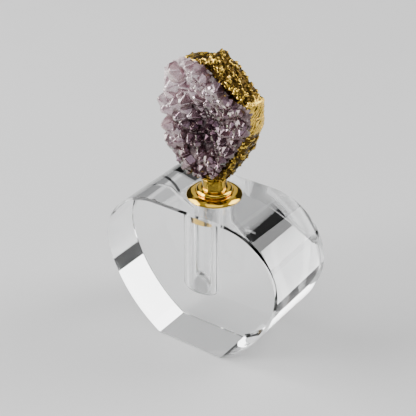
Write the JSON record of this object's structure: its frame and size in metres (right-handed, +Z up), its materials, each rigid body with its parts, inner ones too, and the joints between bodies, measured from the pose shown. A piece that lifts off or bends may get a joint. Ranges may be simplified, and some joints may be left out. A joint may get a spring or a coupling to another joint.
{
  "type": "perfume bottle",
  "caption": "Clear crystal slab perfume bottle with a drilled reservoir, a gilt ferrule and a lift-out stopper that carries a gilded amethyst druse.",
  "frame": {"origin": "centre of the flat foot of the crystal block", "axes": "+Z up along the reservoir's axis, +X along the width of the broad faces, front towards -Y"},
  "size_m": [0.1, 0.044, 0.1526],
  "materials": {
    "crystal": "polished optical crystal",
    "gold_plate": "polished gold plate",
    "seal": "matte",
    "plug": "natural polyethylene",
    "brass": "plain turned",
    "steel": "zinc plated",
    "gilded_rock": "rough rock under gold plate",
    "amethyst": "clear to lilac quartz points"
  },
  "bodies": {
    "bottle": {"crystal_block": "crystal", "neck_ferrule": "gold_plate"},
    "seal": {"seal_ring": "seal"},
    "stopper": {"stopper_base": "gold_plate", "stopper_plug": "plug", "stone_stud": "brass", "stud_washer": "steel", "stud_nut": "steel", "gilded_matrix": "gilded_rock", "amethyst_druzy": "amethyst"}
  },
  "joints": [
    {"name": "stopper_lift", "type": "slide", "parent": "bottle", "child": "seal", "axis": [0, 0, 1], "range_m": [0, 0.03]},
    {"name": "stopper_turn", "type": "hinge", "parent": "seal", "child": "stopper", "pos_m": [0, 0, 0.0724], "axis": [0, 0, 1], "continuous": true}
  ]
}
